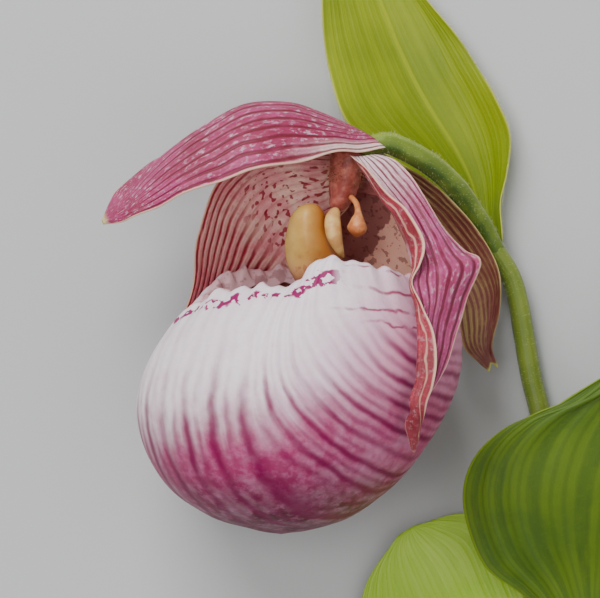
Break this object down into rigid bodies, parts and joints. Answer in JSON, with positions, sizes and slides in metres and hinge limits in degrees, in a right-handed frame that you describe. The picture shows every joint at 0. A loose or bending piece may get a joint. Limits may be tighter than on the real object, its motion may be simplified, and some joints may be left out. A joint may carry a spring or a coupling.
{
  "type": "orchid flower",
  "caption": "Lady's slipper orchid flower with pink pouch, striped petals, bract and leaves on a cut stem, lying down.",
  "frame": {"origin": "centre of the small flat spot under the pouch, where it rests", "axes": "+X to the right and +Y up as the flower is seen in the picture, stem toward -Y; +Z up from the surface it lies on, toward the camera"},
  "size_m": [0.1207, 0.1887, 0.0504],
  "materials": {
    "pouch_skin": "satin",
    "dorsal_sepal_skin": "matte",
    "petal_near_skin": "matte",
    "petal_far_skin": "matte",
    "synsepal_skin": "matte",
    "staminode_skin": "satin",
    "column_skin": "matte",
    "stigma_skin": "satin",
    "anther_near_skin": "matte",
    "anther_far_skin": "matte",
    "ovary_skin": "satin",
    "bract_skin": "satin",
    "stem_skin": "satin",
    "leaf_upper_skin": "satin",
    "leaf_lower_skin": "satin"
  },
  "bodies": {
    "root": {"pouch": "pouch_skin", "dorsal_sepal": "dorsal_sepal_skin", "petal_near": "petal_near_skin", "petal_far": "petal_far_skin", "synsepal": "synsepal_skin", "column": "column_skin", "staminode": "staminode_skin", "stigma": "stigma_skin", "anther_near": "anther_near_skin", "anther_far": "anther_far_skin", "ovary": "ovary_skin", "bract": "bract_skin", "stem": "stem_skin", "leaf_upper": "leaf_upper_skin", "leaf_lower": "leaf_lower_skin"}
  },
  "joints": []
}
